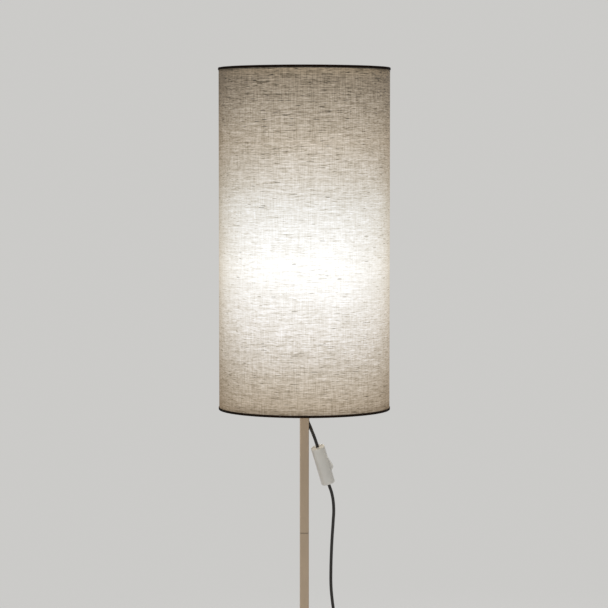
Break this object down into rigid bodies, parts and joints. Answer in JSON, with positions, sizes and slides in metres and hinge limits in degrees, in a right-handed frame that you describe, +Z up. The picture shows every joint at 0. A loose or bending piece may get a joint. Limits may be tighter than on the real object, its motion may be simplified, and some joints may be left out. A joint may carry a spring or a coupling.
{
  "type": "column floor lamp",
  "caption": "Floor lamp with a tall cylindrical linen shade on a slim square column with a flat square foot, and an in-line rocker switch on its cord.",
  "frame": {"origin": "on the floor under the centre of the foot, where the rubber pads rest", "axes": "+Z up the column, +X towards the side where the cord leaves the column, -Y towards the front"},
  "size_m": [0.302, 0.3872, 1.55],
  "materials": {
    "satin_bronze": "satin champagne bronze",
    "zinc_steel": "zinc plated",
    "dark_steel": "blackened",
    "white_steel": "white powder coat",
    "brass": "plain",
    "nickel": "nickel plated",
    "pad_rubber": "matte",
    "cord_sheath": "soft dark sheath",
    "blue_core": "matte",
    "brown_core": "matte",
    "black_plastic": "moulded matte",
    "ivory_plastic": "moulded matte",
    "white_plastic": "moulded semi-gloss",
    "opal_glass": "opal",
    "clear_glass": "clear",
    "filament": "yellow coating",
    "liner_film": "white film",
    "linen": "natural slubbed linen",
    "rim_tape": "dark woven tape"
  },
  "bodies": {
    "lamp": {"base_plate": "satin_bronze", "base_pads": "pad_rubber", "base_bolt": "zinc_steel", "base_washer": "zinc_steel", "foot_plug": "zinc_steel", "lower_pole": "satin_bronze", "lower_joiner": "dark_steel", "middle_pole": "satin_bronze", "upper_joiner": "dark_steel", "upper_pole": "satin_bronze", "joiner_screws": "dark_steel", "pole_cap": "satin_bronze", "pole_nipple": "brass", "cord_grommet": "pad_rubber", "inner_cord": "cord_sheath", "holder_cap": "black_plastic", "holder_body": "black_plastic", "holder_core": "ivory_plastic", "holder_thread": "brass", "holder_tongue": "brass", "holder_terminals": "brass", "holder_cores": "brown_core", "shade_nut_lower": "black_plastic", "shade_nut_upper": "black_plastic", "bulb_cap": "nickel", "bulb_tip": "nickel", "bulb_glass": "opal_glass", "bulb_stem": "clear_glass", "bulb_filaments": "filament", "shade_hub": "white_steel", "shade_arms": "white_steel", "shade_lower_ring": "white_steel", "shade_upper_ring": "white_steel", "shade_liner": "liner_film", "shade_linen": "linen", "lower_tape": "rim_tape", "upper_tape": "rim_tape", "switch_barrel": "white_plastic", "switch_end_upper": "white_plastic", "switch_end_lower": "white_plastic", "switch_carrier": "ivory_plastic", "fulcrum_strip": "brass", "fixed_contact": "brass", "switch_terminals": "brass", "terminal_screws": "zinc_steel", "cord_clamps": "black_plastic", "clamp_screws": "zinc_steel", "neutral_core": "blue_core", "live_cores": "brown_core", "upper_cord": "cord_sheath", "lower_cord": "cord_sheath", "cord_coil": "cord_sheath", "plug_lead": "cord_sheath", "plug_body": "black_plastic", "plug_pins": "nickel", "plug_sleeves": "black_plastic"},
    "rocker": {"switch_rocker": "white_plastic", "rocker_plunger": "brass", "rocker_spring": "zinc_steel"},
    "lever": {"contact_lever": "brass"}
  },
  "joints": [
    {"name": "rocker_tilt", "type": "hinge", "parent": "lamp", "child": "rocker", "pos_m": [0.03775, 0.00511, 0.85167], "axis": [-0.0643, 0.9728, 0.2227], "range_deg": [0, 30], "deforming": ["rocker_plunger", "rocker_spring"]},
    {"name": "contact_tilt", "type": "hinge", "parent": "lamp", "child": "lever", "pos_m": [0.03083, 0.00511, 0.84968], "axis": [-0.0643, 0.9728, 0.2227], "range_deg": [-16, 0]}
  ],
  "couplings": [
    {"joint": "contact_tilt", "follows": "rocker_tilt", "ratio": -0.53333}
  ]
}
